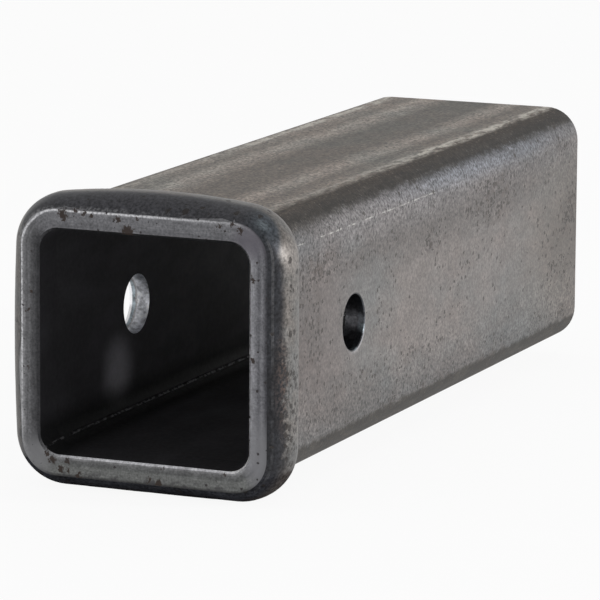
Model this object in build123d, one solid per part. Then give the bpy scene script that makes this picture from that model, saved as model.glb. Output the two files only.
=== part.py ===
from build123d import *

import os
from math import cos, isclose, pi, radians, sin

# Receiver tube: a square steel tube whose mouth was upset in the forge into a thick rounded lip
# and then ground flat. A hitch pin passes through both side walls. All of it is one piece.
#
# Frame, in millimetres: the origin lies where the pin hole's axis crosses the tube's centreline,
# +X runs along the pin hole, +Y from the mouth to the sawn rear end, and +Z is up.

# Square tube
tube_width = 76.2
wall = 6.35
corner_radius = 10.5
bore_corner_radius = 5.5
tube_length = 254.0
saw_edge_break = 0.3

# Pin hole, punched through both side walls for a 15.9 mm hitch pin. In each wall its outer rim is
# rolled over, then comes a straight sheared land, and from there it breaks out wider into the bore.
pin_diameter = 15.9
pin_clearance = 0.6
mouth_to_pin = 63.5
punch_rollover = 0.4
punch_land = 2.3
punch_breakout = 0.7

# Mouth of the socket. The forge opened it into a short taper that sits a little low, and grinding
# left a small bevel round its edge.
mouth_flare = 0.85
mouth_flare_depth = 9.5
mouth_flare_drop = 0.25
mouth_corner_radius = 6.1
mouth_bevel = 0.65

# Forged lip. It stands proud of the tube, and its sides are crowned, each in its own way.
lip_length = 16.8
lip_shoulder = 9.5
lip_land = 1.45
lip_corner_radius = 16.0
lip_proud_right = 4.5
lip_proud_top = 5.75
lip_proud_left = 5.75
lip_proud_bottom = 5.0
lip_crown_right = 0.2
lip_crown_top = 3.9
lip_crown_left = 1.7
lip_crown_bottom = 0.2

# The ground face reaches past the tube's own outline above and below.
face_proud_top = 0.3
face_proud_bottom = 0.75

# The shoulder is a curve that the ground face cuts off. This is how far it has turned there.
shoulder_start_angle = 32.0
shoulder_sections = 6
face_crown_share = 0.03
face_edge_break = 0.35

# Behind the land the lip's back rounds over and dips just under the tube's surface, where a small
# fillet fills the root.
back_sections = 6
lip_back_sink = 0.6
lip_root_radius = 1.2

# Weld flash, a low bead left in one lower corner of the bore. The forge flattened it inside the lip.
flash_width = 1.5
flash_height = 0.45

# Values that follow from those above
half_width = tube_width / 2
bore_half = half_width - wall
mouth_y = -mouth_to_pin
rear_y = mouth_y + tube_length
pin_hole_radius = (pin_diameter + pin_clearance) / 2
lip_proud_mean = (lip_proud_right + lip_proud_top + lip_proud_left + lip_proud_bottom) / 4
lip_back_length = lip_length - lip_shoulder - lip_land
lip_back_drop = lip_proud_mean + lip_back_sink


def section_plane(y):
    """Plane across the tube at y, with its own x along +X and its own y along +Z."""
    return Plane.XZ.offset(-y)


def square_section(half, radius, y):
    """Rounded square across the tube at y, half as wide as stated."""
    return section_plane(y) * RectangleRounded(2 * half, 2 * half, radius)


def square_bar(half, radius, start, end):
    """Rounded square bar between two places along the tube."""
    return extrude(square_section(half, radius, start), amount=start - end)


def lip_section(y, growth, face_share):
    """Outline of the lip at y, where it has grown by this share of its full height.

    What the ground face reaches past the tube fades out over the shoulder, and face_share is what is
    left of it here. Each side is an arc through its own middle height, and the corners are rounded
    after that.
    """
    share = max(growth, face_crown_share)
    right = half_width + growth * lip_proud_right
    top = half_width + growth * lip_proud_top + face_share * face_proud_top
    left = -half_width - growth * lip_proud_left
    bottom = -half_width - growth * lip_proud_bottom - face_share * face_proud_bottom
    x_high = right - share * lip_crown_right
    z_high = top - share * lip_crown_top
    x_low = left + share * lip_crown_left
    z_low = bottom + share * lip_crown_bottom
    x_middle = (x_high + x_low) / 2
    z_middle = (z_high + z_low) / 2
    sides = [
        ThreePointArc((x_high, z_low), (right, z_middle), (x_high, z_high)),
        ThreePointArc((x_high, z_high), (x_middle, top), (x_low, z_high)),
        ThreePointArc((x_low, z_high), (left, z_middle), (x_low, z_low)),
        ThreePointArc((x_low, z_low), (x_middle, bottom), (x_high, z_low)),
    ]
    outline = make_face(sides)
    radius = corner_radius + growth * (lip_corner_radius - corner_radius)
    return section_plane(y) * fillet(outline.vertices(), radius)


def shoulder_stations():
    """Place along the tube, growth and face share of each section, from ground face to crown."""
    start = radians(shoulder_start_angle)
    for step in range(shoulder_sections):
        angle = start + (pi / 2 - start) * step / (shoulder_sections - 1)
        y = mouth_y + lip_shoulder * (1 - cos(angle) / cos(start))
        growth = (sin(angle) - sin(start)) / (1 - sin(start))
        yield y, growth, 1 - growth


def back_stations():
    """The same for the back, a quarter round from the end of the land to the end of the lip."""
    start_y = mouth_y + lip_shoulder + lip_land
    for step in range(back_sections):
        angle = pi / 2 * step / (back_sections - 1)
        y = start_y + lip_back_length * sin(angle)
        growth = 1 - lip_back_drop * (1 - cos(angle)) / lip_proud_mean
        yield y, growth, 0


def lip():
    """Solid lip, lofted through its sections. The bore is cut later."""
    stations = list(shoulder_stations()) + list(back_stations())
    return loft([lip_section(*station) for station in stations])


def tube_bar():
    """Solid bar of the tube, from inside the lip to the rear end."""
    bar = square_bar(half_width, corner_radius, mouth_y + lip_shoulder, rear_y)
    rear_edges = bar.faces().sort_by(Axis.Y)[-1].edges()
    return chamfer(rear_edges, saw_edge_break)


def mouth_section(growth, y):
    """Rounded square across the flared mouth at y, larger all round than the flare by the growth."""
    half = bore_half + mouth_flare + growth
    return Pos(0, 0, -mouth_flare_drop) * square_section(half, mouth_corner_radius + growth, y)


def bore():
    """The square socket, with the forged taper and the bevel at its mouth."""
    hole = square_bar(bore_half, bore_corner_radius, mouth_y, rear_y)
    outer = mouth_section(mouth_bevel, mouth_y)
    wide = mouth_section(0, mouth_y + mouth_bevel)
    narrow = square_section(bore_half, bore_corner_radius, mouth_y + mouth_flare_depth)
    return hole + loft([wide, narrow], ruled=True) + loft([outer, wide], ruled=True)


def weld_flash():
    """Low round-topped bead along one lower corner of the bore, from behind the lip to the rear."""
    bead_radius = flash_width ** 2 / (8 * flash_height) + flash_height / 2
    from_corner_centre = bore_corner_radius + bead_radius - flash_height
    along = -bore_half + bore_corner_radius - from_corner_centre * sin(pi / 4)
    start = mouth_y + lip_length
    return extrude(section_plane(start) * Pos(along, along) * Circle(bead_radius), amount=start - rear_y)


def pin_hole():
    """What the punch took out along X: straight through each wall's land, then wider to the bore."""
    reach = 2 * tube_width
    land_end = half_width - punch_land
    widest = pin_hole_radius + punch_breakout
    half_profile = [
        (-reach, 0),
        (-reach, pin_hole_radius),
        (-land_end, pin_hole_radius),
        (-bore_half, widest),
        (bore_half, widest),
        (land_end, pin_hole_radius),
        (reach, pin_hole_radius),
        (reach, 0),
    ]
    return revolve(make_face(Polyline(*half_profile, close=True)), Axis.X)


def rolled_over(body):
    """The body with the pin hole's two outer rims rounded, as the punch left them."""
    round_edges = body.edges().filter_by(GeomType.CIRCLE)
    hole_edges = round_edges.filter_by(lambda edge: isclose(edge.radius, pin_hole_radius))
    across = hole_edges.group_by(Axis.X)
    return fillet(across[0] + across[-1], punch_rollover)


def lipped_bar():
    """Lip and bar in one, with the root filled and the ground face's outer edge broken."""
    body = lip() + tube_bar()
    root_y = mouth_y + lip_length
    root = body.edges().filter_by_position(Axis.Y, root_y - lip_back_length, root_y + lip_back_length)
    body = fillet(root, lip_root_radius)
    face_edges = body.faces().sort_by(Axis.Y)[0].edges()
    return fillet(face_edges, face_edge_break)


def receiver_tube():
    """The whole part: lip and bar, then bore, weld flash and pin hole."""
    body = lipped_bar() - bore()
    body = body + weld_flash()
    return rolled_over(body - pin_hole())


os.makedirs("parts", exist_ok=True)
export_step(receiver_tube(), "parts/receiver_tube.step")
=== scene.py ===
import math

import bpy
from bpy.props import FloatProperty, FloatVectorProperty, PointerProperty
from mathutils import Matrix, Vector


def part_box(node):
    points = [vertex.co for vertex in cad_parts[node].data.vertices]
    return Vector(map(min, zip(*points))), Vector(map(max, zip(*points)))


bl_info = {
    "name": "Receiver tube",
    "version": (1, 0, 0),
    "blender": (4, 5, 0),
    "location": "3D View > Sidebar > Receiver tube",
    "description": "Finishes a raw steel receiver tube and sets it in a small studio",
    "category": "Object",
}

NODE = "receiver_tube"
MM = 1000.0

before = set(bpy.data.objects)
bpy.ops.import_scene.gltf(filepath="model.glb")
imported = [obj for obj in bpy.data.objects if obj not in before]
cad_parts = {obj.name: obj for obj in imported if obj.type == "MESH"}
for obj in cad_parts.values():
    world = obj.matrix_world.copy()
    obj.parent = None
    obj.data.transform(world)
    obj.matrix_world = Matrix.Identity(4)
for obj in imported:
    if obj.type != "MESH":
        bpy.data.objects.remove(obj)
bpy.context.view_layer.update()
tube_low, tube_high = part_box(NODE)

# Places and sizes in the CAD frame, in millimetres
HALF_TUBE = 38.1
HALF_BORE = 31.75
CORNER_CENTRE = 27.6
MOUTH_Y = -63.5
REAR_Y = 190.5
LIP_END_Y = -45.2
BEVEL = 0.65
HOLE_RADIUS = 8.25
HOLE_FLARE = 0.75
HOLE_LIGHT_Z = -1.5

# How facets are told apart, in millimetres. The bore's are nearer the middle than its reach, those of
# the two end faces are no deeper than their depth, and the slack is for rounding.
BORE_REACH = 34.0
FACE_DEPTH = 0.4
SLACK = 0.05

# How far apart the faces lie on the flat sheet that pits are drawn on, in millimetres
SHEET_ACROSS = 300.0
SHEET_ALONG = 200.0


def linear(colour):
    """A hex sRGB colour as linear RGBA."""
    channels = [int(colour[i:i + 2], 16) / 255 for i in (1, 3, 5)]
    return [c / 12.92 if c <= 0.04045 else ((c + 0.055) / 1.055) ** 2.4 for c in channels] + [1.0]


def add_node(tree, kind, links=None, stops=(), out=0, **settings):
    """Adds a node, sets its properties, inputs and ramp stops, and returns one of its outputs.

    An input takes the output of another node, a value or a hex colour.
    """
    node = tree.nodes.new("ShaderNode" + kind)
    for name, value in settings.items():
        setattr(node, name, value)
    for socket, source in (links or {}).items():
        if isinstance(source, bpy.types.NodeSocket):
            tree.links.new(source, node.inputs[socket])
        else:
            node.inputs[socket].default_value = linear(source) if isinstance(source, str) else source
    for number, (place, colour) in enumerate(stops):
        ramp = node.color_ramp.elements
        element = ramp[number] if number < 2 else ramp.new(place)
        element.position = place
        element.color = linear(colour)
    return node.outputs[out]


# What all colours among the settings have in common
COLOUR = {"subtype": "COLOR", "size": 4, "min": 0, "max": 1}


class TubeSettings(bpy.types.PropertyGroup):
    """Colours of the tube's skin, lip, mouth, holes and bore."""

    warm_steel: FloatVectorProperty(
        name="Warm steel", description="Worn flats where a brownish film is left", default=linear("#7c7673"),
        **COLOUR)
    cool_steel: FloatVectorProperty(
        name="Cool steel", description="Worn flats where the scale is thin and bluish",
        default=linear("#747473"), **COLOUR)
    brown_scale: FloatVectorProperty(
        name="Brown scale", description="Mill scale left in the tube's corners", default=linear("#28241f"),
        **COLOUR)
    forge_scale: FloatVectorProperty(
        name="Forge scale", description="Blue-black scale on the lip's shoulder", default=linear("#232326"),
        **COLOUR)
    # Bare steel also colours the painted glint on the rim round the pin hole
    bare_steel: FloatVectorProperty(
        name="Bare steel", description="Punched walls of the pin hole, and rubbed edges",
        default=linear("#d2d3d8"), **COLOUR)
    bore_oxide: FloatVectorProperty(
        name="Bore oxide", description="Black oxide inside the bore", default=linear("#29282b"), **COLOUR)
    rust: FloatVectorProperty(
        name="Rust", description="Small rust spots on the mouth's face", default=linear("#33261f"), **COLOUR)


class StudioSettings(bpy.types.PropertyGroup):
    """Lamps, floor and camera of the studio."""

    floor_colour: FloatVectorProperty(
        name="Floor", description="Colour of the floor", default=linear("#f2f2f2"), **COLOUR)
    key_power: FloatProperty(
        name="Key softbox", description="Power of the softbox on the right", subtype="POWER", default=9.0,
        min=0)
    camera_place: FloatVectorProperty(
        name="Camera place", description="Where the camera stands", subtype="TRANSLATION", unit="LENGTH",
        default=(0.54546, -1.22709, 0.25258))
    camera_azimuth: FloatProperty(
        name="Camera azimuth", description="How far the camera has gone round from the mouth",
        subtype="ANGLE", default=math.radians(23.142))
    camera_elevation: FloatProperty(
        name="Camera elevation", description="How steeply the camera looks down", subtype="ANGLE",
        default=math.radians(10.502))
    camera_roll: FloatProperty(
        name="Camera roll", description="How far the camera leans", subtype="ANGLE",
        default=math.radians(0.342))
    lens: FloatProperty(
        name="Lens", description="Focal length of the camera", subtype="DISTANCE_CAMERA", default=278.54)


# What the finishes share. All patterns work in millimetres.

def new_finish(name):
    """An empty material, its node tree and its shader."""
    material = bpy.data.materials.new(name)
    material.use_nodes = True
    return material, material.node_tree, material.node_tree.nodes["Principled BSDF"]


def place_in_mm(tree):
    """The point on the surface in millimetres, whole and as x, y and z."""
    metres = add_node(tree, "TexCoord", out="Object")
    place = add_node(tree, "VectorMath", {0: metres, "Scale": MM}, operation="SCALE")
    apart = add_node(tree, "SeparateXYZ", {0: place}).node.outputs
    return place, apart[0], apart[1], apart[2]


def round_section(tree, x, z):
    """How far the point lies outside the corner centres, and how far round its corner it has turned.

    The turn is 0 on the sides and 1 on the top and bottom.
    """
    beyond = []
    for axis in (x, z):
        size = add_node(tree, "Math", {0: axis}, operation="ABSOLUTE")
        rest = add_node(tree, "Math", {0: size, 1: CORNER_CENTRE}, operation="SUBTRACT")
        beyond.append(add_node(tree, "Math", {0: rest, 1: 0.0}, operation="MAXIMUM"))
    both = add_node(tree, "CombineXYZ", {0: beyond[0], 1: beyond[1]})
    reach = add_node(tree, "VectorMath", {0: both}, operation="LENGTH", out="Value")
    angle = add_node(tree, "Math", {0: beyond[1], 1: beyond[0]}, operation="ARCTAN2")
    turn = add_node(tree, "Math", {0: angle, 1: math.pi / 2}, operation="DIVIDE")
    return reach, turn


def mottle(tree, place, size, detail=2.0, stretch=(1, 1, 1), shift=0.0, limits=None, levels=(0, 1)):
    """Cloudy pattern from 0 to 1 whose blots are about this many millimetres across.

    Where limits are given, the part of it between them is spread over the levels.
    """
    scale = [1 / (size * along) for along in stretch]
    moved = add_node(
        tree, "VectorMath", {0: place, 1: scale, 2: (shift, shift, shift)}, operation="MULTIPLY_ADD")
    cloud = add_node(tree, "TexNoise", {"Vector": moved, "Scale": 1.0, "Detail": detail, "Roughness": 0.6})
    if limits is None:
        return cloud
    low, high = limits
    least, most = levels
    return add_node(
        tree, "MapRange",
        {"Value": cloud, "From Min": low, "From Max": high, "To Min": least, "To Max": most})


def unrolled(tree, x, y, z, turn):
    """The point unrolled onto a flat sheet, on which faces that meet lie far apart."""
    lies_flat = add_node(tree, "Math", {0: turn, 1: 0.5}, operation="GREATER_THAN")
    beside = add_node(tree, "Math", {0: x, 1: SHEET_ACROSS}, operation="ADD")
    across = add_node(tree, "Mix", {0: lies_flat, 2: z, 3: beside})
    total = add_node(tree, "Math", {0: x, 1: z}, operation="ADD")
    upper_right = add_node(tree, "Math", {0: total, 1: 0.0}, operation="GREATER_THAN")
    along = add_node(tree, "Math", {0: upper_right, 1: SHEET_ALONG, 2: y}, operation="MULTIPLY_ADD")
    return add_node(tree, "CombineXYZ", {0: along, 1: across})


def pits(tree, sheet, cell, width, share, shift=0.0):
    """Ragged spots of many sizes on a flat sheet, 1 inside and 0 outside, in this share of its cells."""
    moved = add_node(tree, "VectorMath", {0: sheet, 1: (shift, shift, 0)}, operation="ADD")
    cells = add_node(tree, "TexVoronoi", {"Vector": moved, "Scale": 1 / cell}, voronoi_dimensions="2D")
    cells = cells.node.outputs
    dice = add_node(tree, "SeparateColor", {0: cells["Color"]}).node.outputs
    ragged = mottle(tree, moved, width * 0.45, detail=3)
    smaller = add_node(tree, "Math", {0: ragged, 1: 2.4, 2: dice[1]}, operation="MULTIPLY_ADD")
    away = add_node(
        tree, "Math", {0: cells["Distance"], 1: 2 * cell / width, 2: smaller}, operation="MULTIPLY_ADD")
    inside = add_node(tree, "MapRange", {"Value": away, "From Min": 2.3, "From Max": 2.0})
    chosen = add_node(tree, "Math", {0: share, 1: dice[0]}, operation="GREATER_THAN")
    return add_node(tree, "Math", {0: inside, 1: chosen}, operation="MULTIPLY")


def patch(tree, place, centre, size, strength=1.0):
    """Soft patch round a centre, from its strength there to 0 at its edge."""
    offset = add_node(tree, "VectorMath", {0: place, 1: centre}, operation="SUBTRACT")
    shrunk = add_node(tree, "VectorMath", {0: offset, 1: size}, operation="DIVIDE")
    away = add_node(tree, "VectorMath", {0: shrunk}, operation="LENGTH", out="Value")
    return add_node(
        tree, "MapRange", {"Value": away, "From Min": 1.0, "From Max": 0.2, "To Max": strength},
        interpolation_type="SMOOTHSTEP")


def bumped(tree, shader, height, depth_mm):
    """Gives the shader a relief this many millimetres deep."""
    relief = add_node(tree, "Bump", {"Height": height, "Distance": depth_mm / MM, "Strength": 1.0})
    tree.links.new(relief, shader.inputs["Normal"])


def duller_below(tree, shader, metallic, slope, least):
    """Thick scale, which shines less, where the surface faces the floor. Returns how far it faces up."""
    facing = add_node(tree, "TexCoord", out="Normal")
    facing_up = add_node(tree, "SeparateXYZ", {0: facing}, out=2)
    shine = add_node(
        tree, "MapRange", {"Value": facing_up, "From Min": slope, "From Max": -0.05, "To Min": least})
    for name, full in (("Metallic", metallic), ("Specular IOR Level", 0.5)):
        level = add_node(tree, "Math", {0: shine, 1: full}, operation="MULTIPLY")
        tree.links.new(level, shader.inputs[name])
    return facing_up


# Soft bands across a side, from its lower edge up, and across the top, from left to right. They are
# partly marks of the rolls and partly painted reflections and shade. Half of white in light, #bcbcbc,
# leaves the steel as it is.
SIDE_BANDS = (
    (-28.0, "#96999b"), (-17.0, "#bcbcbc"), (8.0, "#bcbcbc"), (20.5, "#a2a3a4"), (28.0, "#b4b8bd"),
)
TOP_BANDS = (
    (-27.0, "#c4bfb7"), (-20.5, "#a7a39b"), (-15.5, "#dad6ce"), (-6.0, "#918d85"),
    (8.0, "#918d85"), (14.5, "#d4d0c8"), (20.0, "#99958d"), (27.0, "#b3afa7"),
)

# Where both sides are darker: y and z of the middle, half length and half height in millimetres, and
# the change in brightness
SIDE_SHADES = (
    (-40.0, 0.0, 52.0, 30.0, -0.26), (-38.0, 28.0, 42.0, 10.0, -0.16), (196.0, -2.0, 58.0, 26.0, -0.26),
    (160.0, 29.0, 70.0, 9.0, -0.18), (124.0, -19.0, 30.0, 9.0, -0.14), (-4.0, -21.0, 44.0, 13.0, -0.2),
    (80.0, 20.0, 120.0, 9.0, -0.08),
)

# Where pits crowd on both sides: the same, and the share of cells that hold a pit
PIT_PATCHES = (
    (-25.0, 20.0, 24.0, 7.0, 0.95), (-34.0, 0.0, 18.0, 36.0, 0.55), (62.0, 14.0, 19.0, 5.0, 0.8),
    (112.0, 20.0, 28.0, 12.0, 0.9), (184.0, 5.0, 14.0, 12.0, 0.9), (175.0, -12.0, 22.0, 7.0, 0.8),
    (176.0, -27.0, 8.0, 4.0, 1.0), (30.0, -18.0, 80.0, 5.0, 0.5), (60.0, -29.5, 160.0, 3.0, 0.6),
)


def worn_flats_and_reflections(tree, settings, place, x, z, mirrored, on_top):
    """Colour of the flats: clouds, large patches, and soft bands along each face, partly left by the rolls
    and partly painted reflections and shade.
    """
    cool = mottle(tree, place, 26, detail=3, stretch=(1, 2.2, 1), limits=(0.42, 0.62))
    pink = mottle(tree, place, 17, stretch=(1, 2.5, 1), shift=5.3, limits=(0.5, 0.68), levels=(0, 0.4))
    tone = settings.warm_steel
    for share, colour in ((cool, settings.cool_steel), (pink, "#7d7470")):
        tone = add_node(tree, "Mix", {0: share, 6: tone, 7: colour}, data_type="RGBA", out=2)

    sway = mottle(tree, place, 30, stretch=(1, 3, 1), shift=2.1, limits=(0.3, 0.7), levels=(-1.5, 1.5))
    # Soft bands, partly roll marks and partly painted reflections and shade across each flat
    bands = []
    for across, stops in ((z, SIDE_BANDS), (x, TOP_BANDS)):
        swayed = add_node(tree, "Math", {0: across, 1: sway}, operation="ADD")
        share = add_node(tree, "MapRange", {"Value": swayed, "From Min": -HALF_TUBE, "From Max": HALF_TUBE})
        ramp_stops = [((at + HALF_TUBE) / (2 * HALF_TUBE), colour) for at, colour in stops]
        bands.append(add_node(tree, "ValToRGB", {0: share}, stops=ramp_stops))
    band = add_node(tree, "Mix", {0: on_top, 6: bands[0], 7: bands[1]}, data_type="RGBA", out=2)
    tone = add_node(tree, "Mix", {0: 1.0, 6: tone, 7: band}, data_type="RGBA", blend_type="OVERLAY", out=2)

    bluish = patch(tree, mirrored, (36.0, 110.0, 32.5), (8, 120, 6.5), 0.65)
    warm = patch(tree, mirrored, (38.0, -28.0, 0.0), (20, 44, 36), 0.6)
    rusty = patch(tree, mirrored, (38.0, 192.0, -4.0), (20, 75, 50), 0.55)
    for share, colour in ((bluish, "#7a7f88"), (warm, "#7e7370"), (rusty, "#776c63")):
        tone = add_node(tree, "Mix", {0: share, 6: tone, 7: colour}, data_type="RGBA", out=2)
    return tone


def brightness_of_flats(tree, place, mirrored, on_top):
    """Brightness of the flats: higher on the top as painted light, with darker places along the sides and
    small clouds.
    """
    # The top is painted brighter than the sides: painted light on the face that looks up
    level = add_node(tree, "MapRange", {"Value": on_top, "To Min": 0.96, "To Max": 1.2})
    for at_y, at_z, length, height, change in SIDE_SHADES:
        more = patch(tree, mirrored, (38.0, at_y, at_z), (20.0, length, height), change)
        level = add_node(tree, "Math", {0: level, 1: more}, operation="ADD")
    cloud = mottle(
        tree, place, 5, detail=4, stretch=(1, 1.6, 1), shift=9.1, limits=(0.3, 0.7), levels=(0.87, 1.13))
    return add_node(tree, "Math", {0: level, 1: cloud}, operation="MULTIPLY")


def corner_scale(tree, settings, place, y, turn, upper, grain, speckle):
    """Share and colour of the brown scale in the corners.

    Near the lip it reaches further down the side of an upper corner.
    """
    ragged = mottle(
        tree, place, 2.2, detail=4, stretch=(1, 2, 1), shift=8.0, limits=(0.3, 0.7), levels=(-0.05, 0.05))
    ragged_turn = add_node(tree, "Math", {0: turn, 1: ragged}, operation="ADD")
    near_lip = add_node(
        tree, "MapRange", {"Value": y, "From Min": -5.0, "From Max": -42.0, "To Min": 0.26, "To Max": 0.1})
    starts = add_node(tree, "Mix", {0: upper, 2: 0.08, 3: near_lip})
    full = add_node(tree, "Mix", {0: upper, 2: 0.2, 3: 0.52})
    scale = add_node(
        tree, "MapRange", {"Value": ragged_turn, "From Min": starts, "From Max": full},
        interpolation_type="SMOOTHSTEP")
    upper_edge = add_node(
        tree, "MapRange", {"Value": ragged_turn, "From Min": 1.03, "From Max": 0.8},
        interpolation_type="SMOOTHSTEP")
    rubbed = add_node(
        tree, "MapRange", {"Value": grain, "From Min": 0.6, "From Max": 0.76, "To Min": 0.96, "To Max": 0.62})
    for factor in (upper_edge, rubbed):
        scale = add_node(tree, "Math", {0: scale, 1: factor}, operation="MULTIPLY")

    thin = mottle(tree, place, 3.5, detail=4, stretch=(1, 3, 1), shift=5.0, limits=(0.45, 0.75))
    brownish = add_node(
        tree, "MapRange", {"Value": ragged_turn, "From Min": 0.55, "From Max": 0.9, "To Max": 0.55})
    tone = settings.brown_scale
    for share, colour in ((thin, "#443f39"), (brownish, "#51463d")):
        tone = add_node(tree, "Mix", {0: share, 6: tone, 7: colour}, data_type="RGBA", out=2)
    return scale, add_node(tree, "VectorMath", {0: tone, "Scale": speckle}, operation="SCALE")


def rubbed_and_highlit_line(tree, place, y, side, on_top, grain):
    """Bright line along the edges of the top and bottom, broken up into blots: partly rubbed steel and partly
    a painted highlight.
    """
    line = add_node(tree, "MapRange", {"Value": side, "From Min": 24.6, "From Max": 26.6})
    falls = add_node(tree, "MapRange", {"Value": side, "From Min": 30.6, "From Max": 29.0})
    worn_and_highlit = mottle(tree, place, 2.2, detail=4, stretch=(0.8, 3, 1), shift=3.0, limits=(0.42, 0.58))
    rearward = add_node(
        tree, "MapRange", {"Value": y, "From Min": 20.0, "From Max": 90.0, "To Min": 0.3, "To Max": 1.0})
    grain_breaks = add_node(
        tree, "MapRange", {"Value": grain, "From Min": 0.4, "From Max": 0.58, "To Min": 0.6, "To Max": 1.0})
    for factor in (falls, on_top, worn_and_highlit, rearward, grain_breaks):
        line = add_node(tree, "Math", {0: line, 1: factor}, operation="MULTIPLY")
    return line


def painted_glint_line(tree, place, y, turn, upper):
    """Painted glints: a thin sparkling line where the side's flat runs into its upper corner."""
    line = add_node(tree, "Math", {0: turn, 1: 0.085, 2: 0.013}, operation="COMPARE")
    glints = mottle(tree, place, 1.5, stretch=(1, 1.8, 1), shift=6.0, limits=(0.46, 0.62))
    forward = add_node(
        tree, "MapRange", {"Value": y, "From Min": 55.0, "From Max": 85.0, "To Min": 0.75, "To Max": 0.12})
    for factor in (upper, glints, forward):
        line = add_node(tree, "Math", {0: line, 1: factor}, operation="MULTIPLY")
    return line


def tube_pits(tree, place, sheet, mirrored):
    """Small and larger pits of the tube, and the share of the cells that hold one.

    They crowd behind the lip, high on the sides and at the far end.
    """
    share = mottle(tree, place, 22, stretch=(1, 1.6, 1), shift=1.4, limits=(0.5, 0.75), levels=(0.04, 0.4))
    for at_y, at_z, length, height, pit_share in PIT_PATCHES:
        more = patch(tree, mirrored, (38.0, at_y, at_z), (14.0, length, height), pit_share)
        share = add_node(tree, "Math", {0: share, 1: more}, operation="MAXIMUM")
    small = pits(tree, sheet, 1.6, 1.7, share)
    crowded = add_node(tree, "MapRange", {"Value": share, "From Min": 0.5, "From Max": 0.95, "To Max": 0.75})
    larger = pits(tree, sheet, 3.0, 2.7, crowded, shift=11.0)
    return add_node(tree, "Math", {0: small, 1: larger}, operation="MAXIMUM"), share


def hot_rolled_tube(settings):
    # Hot-rolled steel tube, handled bare: the flats are worn to a warm grey with bluish patches, fine grain
    # and small dark pits, the corners keep their brown scale, and the bright lines along their edges are
    # partly rubbed steel and partly painted highlights and glints.
    material, tree, shader = new_finish("hot_rolled_tube")
    place, x, y, z = place_in_mm(tree)
    turn = round_section(tree, x, z)[1]
    side = add_node(tree, "Math", {0: x}, operation="ABSOLUTE")
    mirrored = add_node(tree, "CombineXYZ", {0: side, 1: y, 2: z})
    on_top = add_node(tree, "MapRange", {"Value": turn, "From Min": 0.6, "From Max": 0.9})
    upper = add_node(tree, "MapRange", {"Value": z, "From Min": -1.0, "From Max": 1.0})

    # Grain of the worn surface, coarser towards the corners and on the top
    grain = mottle(tree, place, 0.9, detail=3)
    from_middle = add_node(tree, "Math", {0: z}, operation="ABSOLUTE")
    depth = add_node(
        tree, "MapRange",
        {"Value": from_middle, "From Min": 11.0, "From Max": 29.0, "To Min": 2.2, "To Max": 4.6})
    from_mean = add_node(tree, "Math", {0: grain, 1: 0.5}, operation="SUBTRACT")
    speckle = add_node(tree, "Math", {0: from_mean, 1: depth, 2: 1.0}, operation="MULTIPLY_ADD")
    tone = worn_flats_and_reflections(tree, settings, place, x, z, mirrored, on_top)
    for level in (brightness_of_flats(tree, place, mirrored, on_top), speckle):
        tone = add_node(tree, "VectorMath", {0: tone, "Scale": level}, operation="SCALE")

    # Dark pits, fewer of them on the top, and smudges round them
    pitted, crowd = tube_pits(tree, place, unrolled(tree, x, y, z, turn), mirrored)
    fewer = add_node(tree, "Math", {0: on_top, 1: -0.8, 2: 0.9}, operation="MULTIPLY_ADD")
    dark = add_node(tree, "Math", {0: pitted, 1: fewer}, operation="MULTIPLY")
    smudge = mottle(
        tree, place, 3.2, detail=3, stretch=(1, 1.5, 1), shift=4.9, limits=(0.52, 0.68), levels=(0, 0.75))
    smudge = add_node(tree, "Math", {0: smudge, 1: crowd}, operation="MULTIPLY")

    # Painted glint on the rim round the pin hole, in the bare steel colour, brightest at its lower rear
    from_axis = add_node(tree, "CombineXYZ", {0: y, 1: z})
    radius = add_node(tree, "VectorMath", {0: from_axis}, operation="LENGTH", out="Value")
    rim_glint = add_node(tree, "MapRange", {"Value": radius, "From Min": 9.7, "From Max": 8.6})
    lower_rear = patch(tree, mirrored, (HALF_TUBE, 5.0, -7.0), (12, 9, 8), 0.5)
    rim_glint = add_node(tree, "Math", {0: rim_glint, 1: lower_rear}, operation="MULTIPLY")

    scale, scale_tone = corner_scale(tree, settings, place, y, turn, upper, grain, speckle)
    layers = (
        (scale, scale_tone),
        # Bright line along the edges of the top and bottom: partly rubbed steel and partly a painted
        # highlight
        (rubbed_and_highlit_line(tree, place, y, side, on_top, grain), "#d0cbc1"),
        # Painted glints along the upper corners
        (painted_glint_line(tree, place, y, turn, upper), "#c9c7c2"),
        (dark, "#3d3835"),
        (smudge, "#544b46"),
        # Painted glint round the pin hole
        (rim_glint, settings.bare_steel),
    )
    for share, colour in layers:
        tone = add_node(tree, "Mix", {0: share, 6: tone, 7: colour}, data_type="RGBA", out=2)
    tree.links.new(tone, shader.inputs["Base Color"])
    duller_below(tree, shader, metallic=0.55, slope=-0.7, least=0.2)
    sheen = add_node(
        tree, "MapRange", {"Value": grain, "From Min": 0.3, "From Max": 0.7, "To Min": 0.38, "To Max": 0.5})
    duller = add_node(tree, "Math", {0: scale, 1: 0.1, 2: sheen}, operation="MULTIPLY_ADD")
    duller = add_node(tree, "Math", {0: on_top, 1: 0.12, 2: duller}, operation="MULTIPLY_ADD")
    tree.links.new(duller, shader.inputs["Roughness"])
    relief = add_node(tree, "Math", {0: pitted, 1: -1.5, 2: grain}, operation="MULTIPLY_ADD")
    bumped(tree, shader, relief, 0.06)
    return material


# Where the lip's pits crowd: centre and half sizes in millimetres, and the share of cells with a pit
LIP_PITS = (
    ((42.5, -52.0, 22.0), (9.0, 7.0, 9.0), 0.6),
    ((42.5, -54.0, -16.0), (9.0, 9.0, 26.0), 0.95),
    ((42.4, -55.4, 12.6), (9.0, 2.5, 2.5), 1.0),
)


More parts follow.
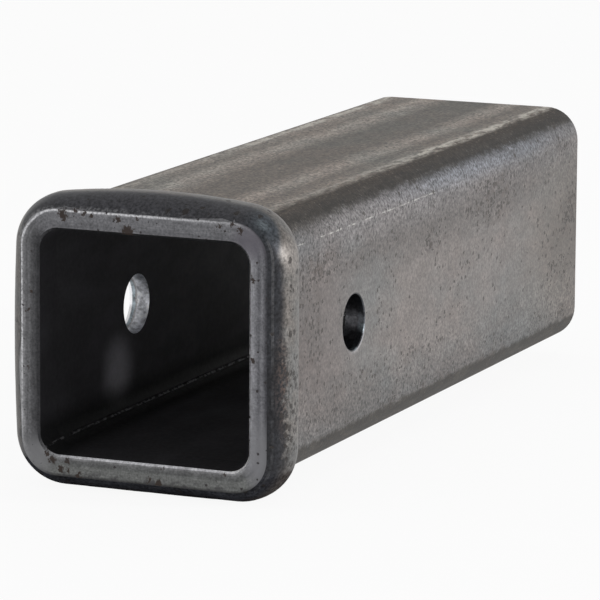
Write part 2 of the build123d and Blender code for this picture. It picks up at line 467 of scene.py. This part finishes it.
def lip_scale(tree, settings, place, y, z, grain, blots):
    """Colour of the lip's scale: blue-black, greyer at the top, brown on the right, and darker brown below,
    which is partly painted shade.
    """
    bluish = add_node(tree, "MapRange", {"Value": blots, "From Min": 0.4, "From Max": 0.62})
    high = add_node(tree, "MapRange", {"Value": z, "From Min": 32.0, "From Max": 40.0, "To Max": 0.8})
    slate = patch(tree, place, (36.5, -59.0, 38.0), (9, 9, 8), 0.8)
    pale = patch(tree, place, (35.4, -60.5, 37.6), (3.5, 2.5, 2.5), 0.7)
    brown = patch(tree, place, (42.0, -57.5, -6.0), (8, 6, 24), 0.8)
    brown_blots = add_node(tree, "MapRange", {"Value": grain, "From Min": 0.4, "From Max": 0.6})
    brown = add_node(tree, "Math", {0: brown, 1: brown_blots}, operation="MULTIPLY")
    # Brown low down behind the face, darkened partly as painted shade under the lip
    low = add_node(tree, "MapRange", {"Value": z, "From Min": -22.0, "From Max": -32.0})
    behind = add_node(tree, "MapRange", {"Value": y, "From Min": -61.0, "From Max": -57.0, "To Max": 0.75})
    brown_low_shade = add_node(tree, "Math", {0: behind, 1: low}, operation="MULTIPLY")
    layers = (
        (bluish, "#2c2d31"), (high, "#48484c"), (slate, "#494f55"), (pale, "#6f777c"), (brown, "#4a3d36"),
        (brown_low_shade, "#332f2c"),
    )
    tone = settings.forge_scale
    for share, colour in layers:
        tone = add_node(tree, "Mix", {0: share, 6: tone, 7: colour}, data_type="RGBA", out=2)
    return tone


def lip_wear_and_under_shade(tree, place, x, y, z):
    """How far the lip's scale is rubbed off.

    The wear starts 3 mm behind the ground face and is full 3 mm on. It starts earlier on the left, and
    later low down and on the top. Low down its border is more ragged, and the underside is hardly worn,
    which keeps it dark as painted shade under the lip.
    """
    ragged = mottle(tree, place, 2.0, detail=5, shift=7.7)
    depth = add_node(
        tree, "MapRange", {"Value": z, "From Min": 10.0, "From Max": -2.0, "To Min": 2.5, "To Max": 9.0})
    from_mean = add_node(tree, "Math", {0: ragged, 1: 0.5}, operation="SUBTRACT")
    place_y = add_node(tree, "Math", {0: from_mean, 1: depth, 2: y}, operation="MULTIPLY_ADD")
    moves = ((z, 6.0, -4.0, -1.0), (z, 24.0, 29.0, 1.2), (z, 30.0, 38.0, -4.6), (x, -36.0, -40.0, 6.0))
    for axis, starts, full, move in moves:
        moved = add_node(
            tree, "MapRange", {"Value": axis, "From Min": starts, "From Max": full, "To Max": move})
        place_y = add_node(tree, "Math", {0: place_y, 1: moved}, operation="ADD")
    wear = add_node(
        tree, "MapRange", {"Value": place_y, "From Min": -60.6, "From Max": -57.3},
        interpolation_type="SMOOTHSTEP")
    # The underside keeps its dark scale, which is also painted shade under the lip
    under = add_node(
        tree, "MapRange", {"Value": z, "From Min": -25.0, "From Max": -34.0, "To Min": 1.0, "To Max": 0.06})
    return add_node(tree, "Math", {0: wear, 1: under}, operation="MULTIPLY")


def ground_dots_and_highlight(tree, x, y, z, grain, blots):
    """Dots where the grinding broke through the scale just behind the ground face, and a painted highlight.

    The dots lie mostly at the upper left. The highlight is a thin paler line on the right.
    """
    dots = add_node(tree, "MapRange", {"Value": y, "From Min": -62.4, "From Max": -63.2})
    diagonal = add_node(tree, "Math", {0: z, 1: x}, operation="SUBTRACT")
    upper_left = add_node(
        tree, "MapRange", {"Value": diagonal, "From Min": 15.0, "From Max": 70.0, "To Max": 0.65})
    dotted = add_node(
        tree, "MapRange", {"Value": grain, "From Min": 0.46, "From Max": 0.66, "To Min": 0.15, "To Max": 1.0})
    for factor in (upper_left, dotted):
        dots = add_node(tree, "Math", {0: dots, 1: factor}, operation="MULTIPLY")
    # Painted highlight: a thin paler line along the shoulder on the right
    line = add_node(tree, "Math", {0: y, 1: -62.3, 2: 0.3}, operation="COMPARE")
    broken = add_node(tree, "MapRange", {"Value": blots, "From Min": 0.4, "From Max": 0.6, "To Max": 0.16})
    on_right = add_node(tree, "Math", {0: x, 1: 34.0}, operation="GREATER_THAN")
    for factor in (broken, on_right):
        line = add_node(tree, "Math", {0: line, 1: factor}, operation="MULTIPLY")
    return add_node(tree, "Math", {0: dots, 1: line}, operation="MAXIMUM")


def forged_lip(settings):
    # The lip was upset hot, so its shoulder wears blue-black forge scale. Handling has rubbed the
    # crown and the back down to the same warm grey as the tube, with a soft, speckled border.
    material, tree, shader = new_finish("forged_lip")
    place, x, y, z = place_in_mm(tree)
    grain = mottle(tree, place, 0.9, detail=3)
    blots = mottle(tree, place, 11, detail=3, shift=4.4)

    cool = add_node(tree, "MapRange", {"Value": blots, "From Min": 0.45, "From Max": 0.7})
    # A painted highlight brightens the worn grey high on the lip's right side
    bright = patch(tree, place, (42.0, -54.5, 28.0), (9, 9, 6), 0.9)
    worn_and_highlit = "#716c68"
    for share, colour in ((cool, "#6a6a69"), (bright, "#827d79")):
        worn_and_highlit = add_node(tree, "Mix", {0: share, 6: worn_and_highlit, 7: colour}, data_type="RGBA", out=2)

    # Lighter line along the top of the lip's back edge: a painted highlight where the rounded edge faces up
    back = add_node(tree, "Math", {0: y, 1: -48.6, 2: 0.8}, operation="COMPARE")
    on_top = add_node(tree, "MapRange", {"Value": z, "From Min": 36.0, "From Max": 40.0, "To Max": 0.5})
    back = add_node(tree, "Math", {0: back, 1: on_top}, operation="MULTIPLY")

    tone = lip_scale(tree, settings, place, y, z, grain, blots)
    dots_and_highlight = ground_dots_and_highlight(tree, x, y, z, grain, blots)
    layers = ((lip_wear_and_under_shade(tree, place, x, y, z), worn_and_highlit), (dots_and_highlight, "#8f8f90"), (back, "#948f89"))
    for share, colour in layers:
        tone = add_node(tree, "Mix", {0: share, 6: tone, 7: colour}, data_type="RGBA", out=2)

    # Fine speckle. The underside's thick scale doesn't shine, so its own colour has to be lighter.
    speckle = add_node(
        tree, "MapRange", {"Value": grain, "From Min": 0.3, "From Max": 0.7, "To Min": 0.44, "To Max": 1.56})
    facing_up = duller_below(tree, shader, metallic=0.65, slope=-0.4, least=0.0)
    lighter = add_node(
        tree, "MapRange",
        {"Value": facing_up, "From Min": 0.0, "From Max": -0.4, "To Min": 1.0, "To Max": 1.7})
    dull_left = add_node(
        tree, "MapRange", {"Value": x, "From Min": -37.0, "From Max": -40.0, "To Min": 1.0, "To Max": 0.6})
    for level in (speckle, lighter, dull_left):
        tone = add_node(tree, "VectorMath", {0: tone, "Scale": level}, operation="SCALE")

    share = 0.1
    for centre, size, strength in LIP_PITS:
        more = patch(tree, place, centre, size, strength)
        share = add_node(tree, "Math", {0: share, 1: more}, operation="MAXIMUM")
    turn = round_section(tree, x, z)[1]
    pitted = pits(tree, unrolled(tree, x, y, z, turn), 1.9, 2.1, share, shift=3.0)
    dark = add_node(tree, "Math", {0: pitted, 1: 0.85}, operation="MULTIPLY")
    tone = add_node(tree, "Mix", {0: dark, 6: tone, 7: "#332f2d"}, data_type="RGBA", out=2)

    tree.links.new(tone, shader.inputs["Base Color"])
    gloss = add_node(
        tree, "MapRange", {"Value": grain, "From Min": 0.3, "From Max": 0.7, "To Min": 0.36, "To Max": 0.48})
    tree.links.new(gloss, shader.inputs["Roughness"])
    relief = add_node(tree, "Math", {0: pitted, 1: -1.5, 2: grain}, operation="MULTIPLY_ADD")
    bumped(tree, shader, relief, 0.06)
    return material


# Rust spots on the ground face: x, z and half width in millimetres
RUST_SPOTS = (
    (-25.0, 36.8, 1.8), (-21.0, 38.3, 0.9), (-18.2, 37.6, 0.9), (-15.9, 37.0, 0.8), (-7.9, 36.6, 1.2),
    (-4.6, 33.4, 2.2), (-1.9, 37.3, 0.6), (23.6, 36.9, 0.8), (30.0, 36.2, 1.1), (27.4, 37.6, 0.8),
    (-30.2, -32.6, 0.9), (-28.4, -34.4, 1.4), (-23.8, -34.2, 1.0), (-25.8, -36.9, 1.1), (-23.5, -37.2, 0.9),
    (-20.4, -38.4, 1.2), (5.0, -38.2, 1.2), (2.0, -37.6, 0.9), (25.4, -34.0, 0.7), (6.2, -33.8, 0.6),
    (33.6, 22.6, 1.0), (33.9, -0.3, 0.8), (-35.2, 14.2, 0.6), (-35.9, 8.4, 0.5), (-36.3, -7.6, 0.6),
)

# Corners of the ground face that the wheel left even: centre and half sizes in millimetres, and colour
FACE_PATCHES = (
    ((33.0, MOUTH_Y, 33.0), (8.0, 4.0, 8.0), "#625f66"),
    ((-33.0, MOUTH_Y, -33.0), (8.0, 4.0, 8.0), "#767678"),
    ((36.0, MOUTH_Y, -28.0), (6.0, 4.0, 16.0), "#79797c"),
)

# Lines that a shank and the wheel left on each side of the ground face, from the inside out:
# millimetres outside the corner centres, and colour. They hold painted light and shade too: the outer
# edge is lighter at the top and left and darker at the right and bottom, and the inner edge is dark on
# the left.
FACE_RIGHT = (5.5, "#8a8a8e"), (6.9, "#7b7b7f"), (8.1, "#5c5c60"), (9.0, "#727276"), (10.4, "#424246")
FACE_LEFT = (5.4, "#3b3b3d"), (7.4, "#525254"), (8.1, "#666668"), (8.8, "#5c5c5e"), (10.2, "#838385")
FACE_TOP = (
    (5.4, "#6a6a6d"), (6.0, "#616164"), (7.4, "#6d6d70"), (9.4, "#6d6d70"), (10.4, "#838386"),
    (10.9, "#747477"),
)
FACE_BOTTOM = (
    (5.4, "#919193"), (6.5, "#616162"), (7.4, "#595a5a"), (8.4, "#676867"), (10.4, "#6a6b6a"),
    (11.2, "#383838"),
)

# Where the ramps that hold these lines start and end, in the same millimetres
FACE_START = 4.0
FACE_END = 12.0


def ground_sides(tree, x, z, reach, turn):
    """Colour of the ground face, with the lines of each of its four sides, which include painted light and
    shade at its edges.
    """
    share = add_node(tree, "MapRange", {"Value": reach, "From Min": FACE_START, "From Max": FACE_END})
    ramps = []
    for stops in (FACE_LEFT, FACE_RIGHT, FACE_BOTTOM, FACE_TOP):
        ramp_stops = [((at - FACE_START) / (FACE_END - FACE_START), colour) for at, colour in stops]
        ramps.append(add_node(tree, "ValToRGB", {0: share}, stops=ramp_stops))
    rightward = add_node(tree, "MapRange", {"Value": x, "From Min": -1.0, "From Max": 1.0})
    upward = add_node(tree, "MapRange", {"Value": z, "From Min": -1.0, "From Max": 1.0})
    sides = add_node(tree, "Mix", {0: rightward, 6: ramps[0], 7: ramps[1]}, data_type="RGBA", out=2)
    flats = add_node(tree, "Mix", {0: upward, 6: ramps[2], 7: ramps[3]}, data_type="RGBA", out=2)
    lies_flat = add_node(
        tree, "MapRange", {"Value": turn, "From Min": 0.25, "From Max": 0.75},
        interpolation_type="SMOOTHSTEP")
    return add_node(tree, "Mix", {0: lies_flat, 6: sides, 7: flats}, data_type="RGBA", out=2)


def wheel_marks(tree, x, z, reach, turn):
    """Faint marks of the wheel along the sides of the ground face."""
    around = add_node(tree, "Math", {0: x, 1: z}, operation="ADD")
    along = add_node(tree, "Math", {0: around, 1: 0.12}, operation="MULTIPLY")
    across = add_node(tree, "Math", {0: reach, 1: 1.8}, operation="MULTIPLY")
    strip = add_node(tree, "CombineXYZ", {0: across, 1: along, 2: turn})
    marks = add_node(tree, "TexNoise", {"Vector": strip, "Scale": 1.0, "Detail": 4.0, "Roughness": 0.7})
    return add_node(
        tree, "MapRange", {"Value": marks, "From Min": 0.3, "From Max": 0.7, "To Min": 0.82, "To Max": 1.18})


def edge_highlight(tree, diagonal, reach, turn, grain):
    """Painted highlight: a bright broken line along the outer edge, at the top and the left, and further in
    at the corner.
    """
    corner = add_node(tree, "Math", {0: turn, 1: 0.5}, operation="PINGPONG")
    line_reach = add_node(tree, "Math", {0: corner, 1: 1.1, 2: reach}, operation="MULTIPLY_ADD")
    from_line = add_node(tree, "Math", {0: line_reach, 1: 10.4}, operation="SUBTRACT")
    from_line = add_node(tree, "Math", {0: from_line}, operation="ABSOLUTE")
    line = add_node(tree, "MapRange", {"Value": from_line, "From Min": 0.42, "From Max": 0.12})
    upper_left = add_node(tree, "MapRange", {"Value": diagonal, "From Min": 2.0, "From Max": 40.0})
    dots = add_node(
        tree, "MapRange", {"Value": grain, "From Min": 0.4, "From Max": 0.56, "To Min": 0.3, "To Max": 1.0})
    for factor in (upper_left, dots):
        line = add_node(tree, "Math", {0: line, 1: factor}, operation="MULTIPLY")
    return line


def rust_spots(tree, place):
    """Rust spots, whose edges are ragged because the place is shaken before they are drawn."""
    shake = add_node(
        tree, "TexNoise", {"Vector": place, "Scale": 0.9, "Detail": 3.0, "Roughness": 0.7}, out="Color")
    shift = add_node(tree, "VectorMath", {0: shake, 1: (0.5, 0.5, 0.5)}, operation="SUBTRACT")
    shaken = add_node(tree, "VectorMath", {0: shift, 1: (4.5, 0.0, 4.5), 2: place}, operation="MULTIPLY_ADD")
    rust = 0.0
    for spot_x, spot_z, width in RUST_SPOTS:
        spot = patch(tree, shaken, (spot_x, MOUTH_Y, spot_z), (width * 1.15, 4.0, width * 1.15))
        rust = add_node(tree, "Math", {0: rust, 1: spot}, operation="MAXIMUM")
    return add_node(tree, "MapRange", {"Value": rust, "From Min": 0.2, "From Max": 0.5, "To Max": 0.92})


def ground_mouth(settings):
    # The mouth's face was ground with a wheel: grey steel with a fine grain, pale lines along the edges that
    # a shank rubs, painted light and shade along its edges and bevel, a speckled painted highlight along the
    # edge at the upper left, and rust spots.
    material, tree, shader = new_finish("ground_mouth")
    place, x, y, z = place_in_mm(tree)
    reach, turn = round_section(tree, x, z)
    diagonal = add_node(tree, "Math", {0: z, 1: x}, operation="SUBTRACT")
    grain = mottle(tree, place, 0.7, detail=3, shift=2.7)
    fine = add_node(
        tree, "MapRange", {"Value": grain, "From Min": 0.3, "From Max": 0.7, "To Min": 0.66, "To Max": 1.34})
    clouds = mottle(tree, place, 3.0, detail=4, shift=6.1)
    cloud = add_node(
        tree, "MapRange", {"Value": clouds, "From Min": 0.3, "From Max": 0.7, "To Min": 0.76, "To Max": 1.24})
    level = wheel_marks(tree, x, z, reach, turn)
    for factor in (fine, cloud):
        level = add_node(tree, "Math", {0: level, 1: factor}, operation="MULTIPLY")
    tone = ground_sides(tree, x, z, reach, turn)
    tone = add_node(tree, "VectorMath", {0: tone, "Scale": level}, operation="SCALE")

    # Scale left low on the face, near its outer edge
    low = add_node(tree, "MapRange", {"Value": z, "From Min": -36.0, "From Max": -38.0})
    scaled = add_node(tree, "MapRange", {"Value": clouds, "From Min": 0.5, "From Max": 0.62, "To Max": 0.8})
    scaled = add_node(tree, "Math", {0: scaled, 1: low}, operation="MULTIPLY")

    # Inner bevel: rubbed bright by shanks on the right and below and still scaled on the left, which is also
    # painted light on the right and below and painted shade on the left, with a painted glare at the lower
    # right corner
    behind = add_node(tree, "MapRange", {"Value": y, "From Min": MOUTH_Y + 0.02, "From Max": MOUTH_Y + 0.1})
    inner = add_node(tree, "Math", {0: reach, 1: 8.0}, operation="LESS_THAN")
    bevel = add_node(tree, "Math", {0: behind, 1: inner}, operation="MULTIPLY")
    rubbed = add_node(tree, "MapRange", {"Value": diagonal, "From Min": 4.0, "From Max": -14.0})
    glare = patch(tree, place, (31.5, MOUTH_Y, -31.5), (9, 4, 9))
    bevel_tone = "#39393b"
    for share, colour in ((rubbed, "#dcdce0"), (glare, "#f4f4f6")):
        bevel_tone = add_node(tree, "Mix", {0: share, 6: bevel_tone, 7: colour}, data_type="RGBA", out=2)
    bevel_tone = add_node(tree, "VectorMath", {0: bevel_tone, "Scale": level}, operation="SCALE")

    # Rust, whose colour follows the grain, and small pits
    rust = rust_spots(tree, place)
    spot_tone = add_node(tree, "Mix", {0: fine, 6: "#241d1a", 7: settings.rust}, data_type="RGBA", out=2)
    on_face = add_node(tree, "CombineXYZ", {0: x, 1: z})
    pitted = pits(tree, on_face, 2.6, 0.9, 0.25, shift=9.0)
    # The bright broken line along the outer edge is a painted highlight
    layers = [(scaled, "#3a393b"), (edge_highlight(tree, diagonal, reach, turn, grain), "#d3d3d6")]
    layers += [(patch(tree, place, centre, size, 0.8), colour) for centre, size, colour in FACE_PATCHES]
    layers += [(bevel, bevel_tone), (rust, spot_tone), (pitted, "#3a3738")]
    for share, colour in layers:
        tone = add_node(tree, "Mix", {0: share, 6: tone, 7: colour}, data_type="RGBA", out=2)

    tree.links.new(tone, shader.inputs["Base Color"])
    clean_metal = add_node(tree, "Math", {0: rust, 1: -0.7, 2: 0.9}, operation="MULTIPLY_ADD")
    tree.links.new(clean_metal, shader.inputs["Metallic"])
    gloss = add_node(
        tree, "MapRange", {"Value": grain, "From Min": 0.3, "From Max": 0.7, "To Min": 0.32, "To Max": 0.44})
    duller = add_node(tree, "Math", {0: rust, 1: 0.35, 2: gloss}, operation="MULTIPLY_ADD")
    tree.links.new(duller, shader.inputs["Roughness"])
    bumped(tree, shader, grain, 0.02)
    return material


def black_bore(settings):
    # The bore keeps the black oxide that it was rolled with, greyer towards its middle, and the weld
    # flash in its corner shows through it in faint bright dots, which are partly painted glints.
    material, tree, shader = new_finish("black_bore")
    place, x, y, z = place_in_mm(tree)
    grain = mottle(tree, place, 1.4, detail=3)
    pale = mottle(tree, place, 14, detail=4, stretch=(1, 2, 1), shift=3.1, limits=(0.45, 0.75))
    tone = add_node(tree, "Mix", {0: pale, 6: settings.bore_oxide, 7: "#38373b"}, data_type="RGBA", out=2)
    from_middle = add_node(tree, "Math", {0: y, 1: (MOUTH_Y + REAR_Y) / 2}, operation="SUBTRACT")
    from_middle = add_node(tree, "Math", {0: from_middle}, operation="ABSOLUTE")
    greyer = add_node(
        tree, "MapRange",
        {"Value": from_middle, "From Min": 118.0, "From Max": 55.0, "To Min": 0.85, "To Max": 2.3})
    tone = add_node(tree, "VectorMath", {0: tone, "Scale": greyer}, operation="SCALE")

    # The flash lies in the lower left corner, whose oxide is painted darkest round it as shade.
    apart = add_node(tree, "Math", {0: x, 1: z}, operation="SUBTRACT")
    middle = add_node(tree, "Math", {0: apart, 1: 0.0, 2: 0.5}, operation="COMPARE")
    left = add_node(tree, "Math", {0: x, 1: 0.0}, operation="LESS_THAN")
    rearward = add_node(
        tree, "MapRange", {"Value": y, "From Min": -50.0, "From Max": 150.0, "To Min": 0.5, "To Max": 1.0})
    # Faint bright dots along the flash: partly bare steel showing through and partly painted glints
    dash = mottle(tree, place, 1.6, stretch=(1, 1.6, 1), shift=6.6, limits=(0.44, 0.54))
    for factor in (middle, left, rearward):
        dash = add_node(tree, "Math", {0: dash, 1: factor}, operation="MULTIPLY")
    # Painted shade: the oxide is darker in the lower left corner round the flash
    total = add_node(tree, "Math", {0: x, 1: z}, operation="ADD")
    in_corner = add_node(tree, "MapRange", {"Value": total, "From Min": -53.0, "From Max": -58.5})
    dull = add_node(tree, "Math", {0: dash, 1: -1.0, 2: 1.0}, operation="MULTIPLY_ADD")
    dull = add_node(tree, "Math", {0: in_corner, 1: dull}, operation="MULTIPLY")
    for share, colour in ((dash, "#a3a2a6"), (dull, "#131315")):
        tone = add_node(tree, "Mix", {0: share, 6: tone, 7: colour}, data_type="RGBA", out=2)
    tree.links.new(tone, shader.inputs["Base Color"])
    shader.inputs["Metallic"].default_value = 0.1
    shader.inputs["Specular IOR Level"].default_value = 0.35
    gloss = add_node(
        tree, "MapRange", {"Value": grain, "From Min": 0.3, "From Max": 0.7, "To Min": 0.62, "To Max": 0.76})
    tree.links.new(gloss, shader.inputs["Roughness"])
    bumped(tree, shader, grain, 0.04)
    return material


def punched_hole(settings):
    # Punched steel: a burnished rim, a narrow sheared band, a brownish ragged line, and a bright, mottled
    # torn band from there to the bore. The hole in the right wall is dark, partly with scale and partly as
    # painted shade, with two painted glints on its rim.
    material, tree, shader = new_finish("punched_hole")
    place, x, _, z = place_in_mm(tree)
    blots = mottle(tree, place, 1.6, detail=4, shift=2.2)
    depth = add_node(tree, "Math", {0: x}, operation="ABSOLUTE")
    ragged = add_node(tree, "Math", {0: blots, 1: 1.6, 2: depth}, operation="MULTIPLY_ADD")
    sheared = add_node(tree, "MapRange", {"Value": ragged, "From Min": 36.5, "From Max": 36.9})
    polished = add_node(tree, "MapRange", {"Value": x, "From Min": -36.9, "From Max": -37.2})
    grit = mottle(tree, place, 0.8, shift=4.0)
    border = add_node(tree, "Math", {0: ragged, 1: 36.6, 2: 0.3}, operation="COMPARE")
    border = add_node(tree, "Math", {0: border, 1: grit}, operation="MULTIPLY")
    right = add_node(tree, "MapRange", {"Value": x, "From Min": -1.0, "From Max": 1.0, "To Max": 0.9})
    # Two painted glints on the right hole's rim, where its dark is left off
    for centre in ((37.5, 7.5, -3.0), (37.5, 1.5, -8.3)):
        glint = patch(tree, place, centre, (1.6, 2.4, 1.8), -0.9)
        right = add_node(tree, "Math", {0: right, 1: glint}, operation="ADD", use_clamp=True)
    layers = ((sheared, "#858e94"), (polished, "#f6f6f8"), (border, "#4a3a2c"), (right, "#414145"))
    tone = settings.bare_steel
    for share, colour in layers:
        tone = add_node(tree, "Mix", {0: share, 6: tone, 7: colour}, data_type="RGBA", out=2)

    # The wall is brightest where light falls through the hole, and dimmer above and below that.
    from_middle = add_node(tree, "Math", {0: z, 1: HOLE_LIGHT_Z}, operation="SUBTRACT")
    from_middle = add_node(tree, "Math", {0: from_middle}, operation="ABSOLUTE")
    dimmer = add_node(
        tree, "MapRange",
        {"Value": from_middle, "From Min": 3.0, "From Max": 8.0, "To Min": 1.0, "To Max": 0.45})
    shade = add_node(
        tree, "MapRange", {"Value": blots, "From Min": 0.35, "From Max": 0.65, "To Min": 0.6, "To Max": 1.75})
    shade = add_node(tree, "Math", {0: shade, 1: dimmer}, operation="MULTIPLY")
    shade = add_node(tree, "Mix", {0: polished, 2: shade, 3: 1.0})
    tone = add_node(tree, "VectorMath", {0: tone, "Scale": shade}, operation="SCALE")
    tree.links.new(tone, shader.inputs["Base Color"])
    shader.inputs["Metallic"].default_value = 0.9
    gloss = add_node(tree, "MapRange", {"Value": polished, "To Min": 0.36, "To Max": 0.12})
    tree.links.new(gloss, shader.inputs["Roughness"])
    bumped(tree, shader, blots, 0.03)
    return material


def sawn_end(settings):
    # The far end was cut by a band saw: grey steel with fine upright marks and a thin film of rust.
    material, tree, shader = new_finish("sawn_end")
    place = place_in_mm(tree)[0]
    kerfs = mottle(tree, place, 0.9, detail=3, stretch=(1, 1, 40))
    mark = add_node(
        tree, "MapRange", {"Value": kerfs, "From Min": 0.3, "From Max": 0.7, "To Min": 0.78, "To Max": 1.2})
    brown = mottle(tree, place, 9, detail=4, shift=1.7, limits=(0.5, 0.72), levels=(0, 0.5))
    tone = add_node(tree, "Mix", {0: brown, 6: "#83817f", 7: "#6a5b50"}, data_type="RGBA", out=2)
    tone = add_node(tree, "VectorMath", {0: tone, "Scale": mark}, operation="SCALE")
    tree.links.new(tone, shader.inputs["Base Color"])
    shader.inputs["Metallic"].default_value = 0.85
    shader.inputs["Roughness"].default_value = 0.42
    bumped(tree, shader, kerfs, 0.05)
    return material


def finish_of(middle, corners):
    """Which finish a facet of the tube takes, by the place of its middle and corners in millimetres."""
    reach = max(abs(middle.x), abs(middle.z))
    from_hole = max(math.hypot(c.y, c.z) for c in corners)
    if middle.y > REAR_Y - FACE_DEPTH:
        return "sawn_end"
    if from_hole < HOLE_RADIUS + HOLE_FLARE and min(abs(c.x) for c in corners) > HALF_BORE - SLACK:
        return "punched_hole"
    on_bevel = middle.y < MOUTH_Y + BEVEL and reach < BORE_REACH
    if middle.y < MOUTH_Y + FACE_DEPTH or on_bevel:
        return "ground_mouth"
    if reach < BORE_REACH:
        return "black_bore"
    if max(c.y for c in corners) < LIP_END_Y:
        return "forged_lip"
    return "hot_rolled_tube"


class TubeOperator(bpy.types.Operator):
    """Gives each surface of the tube the finish of the process that made it"""

    bl_idname = "receiver.tube"
    bl_label = "Tube finishes"

    def execute(self, context):
        settings = context.scene.receiver_tube
        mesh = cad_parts[NODE].data
        mesh.materials.clear()
        slots = {}
        makers = (hot_rolled_tube, forged_lip, ground_mouth, black_bore, punched_hole, sawn_end)
        for number, maker in enumerate(makers):
            mesh.materials.append(maker(settings))
            slots[maker.__name__] = number
        counts = dict.fromkeys(slots, 0)
        for facet in mesh.polygons:
            corners = [mesh.vertices[v].co * MM for v in facet.vertices]
            name = finish_of(facet.center * MM, corners)
            facet.material_index = slots[name]
            counts[name] += 1
        if not all(counts.values()):
            raise RuntimeError(f"a finish has no facets: {counts}")
        print("facets by finish", counts)
        return {"FINISHED"}


def add_camera(settings):
    """The camera at the photograph's viewing angle, with its roll."""
    az, el, roll = settings.camera_azimuth, settings.camera_elevation, settings.camera_roll
    back = Vector((math.sin(az) * math.cos(el), -math.cos(az) * math.cos(el), math.sin(el)))
    right = Vector((math.cos(az), math.sin(az), 0))
    up = back.cross(right)
    turned_right = right * math.cos(roll) + up * math.sin(roll)
    turned_up = up * math.cos(roll) - right * math.sin(roll)
    data = bpy.data.cameras.new("camera")
    data.lens = settings.lens
    data.clip_end = 20
    holder = bpy.data.objects.new("camera", data)
    bpy.context.scene.collection.objects.link(holder)
    axes = Matrix((turned_right, turned_up, back)).transposed()
    holder.matrix_world = Matrix.Translation(settings.camera_place) @ axes.to_4x4()
    bpy.context.scene.camera = holder


def add_softbox(name, azimuth, elevation, distance, size, power):
    """An area lamp that looks at the tube's middle, placed by angles from the mouth's side."""
    a, e = math.radians(azimuth), math.radians(elevation)
    back = Vector((math.sin(a) * math.cos(e), -math.cos(a) * math.cos(e), math.sin(e)))
    data = bpy.data.lights.new(name, "AREA")
    data.shape = "RECTANGLE"
    data.size, data.size_y = size
    data.energy = power
    holder = bpy.data.objects.new(name, data)
    bpy.context.scene.collection.objects.link(holder)
    holder.location = (tube_low + tube_high) / 2 + back * distance
    holder.rotation_mode = "QUATERNION"
    holder.rotation_quaternion = (-back).to_track_quat("-Z", "Y")


def white_where_seen(tree):
    """1 for rays from the camera and for those that metal or glass sends on, and 0 for the rest."""
    path = add_node(tree, "LightPath").node.outputs
    seen = add_node(tree, "Math", {0: path["Is Camera Ray"], 1: path["Is Glossy Ray"]}, operation="MAXIMUM")
    return add_node(tree, "Math", {0: seen, 1: path["Is Transmission Ray"]}, operation="MAXIMUM")


def studio_floor(settings):
    # White seamless paper: matt, and lit until it is nearly as white as the page
    material, tree, shader = new_finish("white_paper")
    shader.inputs["Base Color"].default_value = settings.floor_colour
    shader.inputs["Roughness"].default_value = 0.9
    glow = add_node(tree, "Emission", {"Color": (1, 1, 1, 1), "Strength": 1.0})
    share = add_node(tree, "Math", {0: white_where_seen(tree), 1: 0.92}, operation="MULTIPLY")
    both = add_node(tree, "MixShader", {0: share, 1: shader.outputs[0], 2: glow})
    tree.links.new(both, tree.nodes["Material Output"].inputs["Surface"])
    return material


def studio_world():
    """White paper all round, up to a hand's breadth above the horizon, and a dimmer room above it.

    The room is dimmest at the front right, and its soft light comes from the left and behind.
    """
    world = bpy.data.worlds.new("studio")
    world.use_nodes = True
    tree = world.node_tree
    towards = add_node(tree, "TexCoord", out="Generated")
    height = add_node(tree, "SeparateXYZ", {0: towards}, out=2)
    above = add_node(
        tree, "MapRange", {"Value": height, "From Min": 0.14, "From Max": 0.5},
        interpolation_type="SMOOTHSTEP")
    front_right = add_node(
        tree, "VectorMath", {0: towards, 1: (0.82, -0.57, 0.0)}, operation="DOT_PRODUCT", out="Value")
    room = add_node(
        tree, "MapRange",
        {"Value": front_right, "From Min": 0.0, "From Max": 0.7, "To Min": 0.62, "To Max": 0.3})
    level = add_node(tree, "Mix", {0: above, 2: 1.0, 3: room})
    tree.links.new(level, tree.nodes["Background"].inputs["Strength"])
    tree.nodes["Background"].inputs["Color"].default_value = (1, 1, 1, 1)
    bpy.context.scene.world = world


class StudioOperator(bpy.types.Operator):
    """Adds the floor, lamps, world and camera"""

    bl_idname = "receiver.studio"
    bl_label = "Studio"

    def execute(self, context):
        settings = context.scene.receiver_studio
        add_camera(settings)
        studio_world()
        bpy.ops.mesh.primitive_plane_add(size=8, location=(0, 0, tube_low.z))
        floor = context.object
        floor.name = "floor"
        floor.data.materials.append(studio_floor(settings))
        add_softbox(
            "key_softbox", azimuth=98, elevation=14, distance=1.4, size=(0.18, 0.16),
            power=settings.key_power)
        context.scene.view_settings.view_transform = "Standard"
        return {"FINISHED"}


class ReceiverPanel(bpy.types.Panel):
    """Lists the steps that dress the receiver tube"""

    bl_idname = "VIEW3D_PT_receiver_tube"
    bl_label = "Receiver tube"
    bl_space_type = "VIEW_3D"
    bl_region_type = "UI"
    bl_category = "Receiver tube"

    def draw(self, context):
        for operator, group in ((TubeOperator, "receiver_tube"), (StudioOperator, "receiver_studio")):
            box = self.layout.box()
            box.operator(operator.bl_idname)
            settings = getattr(context.scene, group)
            for name in settings.__annotations__:
                box.prop(settings, name)


CLASSES = (TubeSettings, StudioSettings, TubeOperator, StudioOperator, ReceiverPanel)


def register():
    for kind in CLASSES:
        bpy.utils.register_class(kind)
    bpy.types.Scene.receiver_tube = PointerProperty(type=TubeSettings)
    bpy.types.Scene.receiver_studio = PointerProperty(type=StudioSettings)


def unregister():
    del bpy.types.Scene.receiver_studio
    del bpy.types.Scene.receiver_tube
    for kind in reversed(CLASSES):
        bpy.utils.unregister_class(kind)


def main():
    register()
    bpy.ops.object.select_all(action="DESELECT")
    bpy.ops.receiver.tube()
    bpy.ops.receiver.studio()


if __name__ == "__main__":
    main()
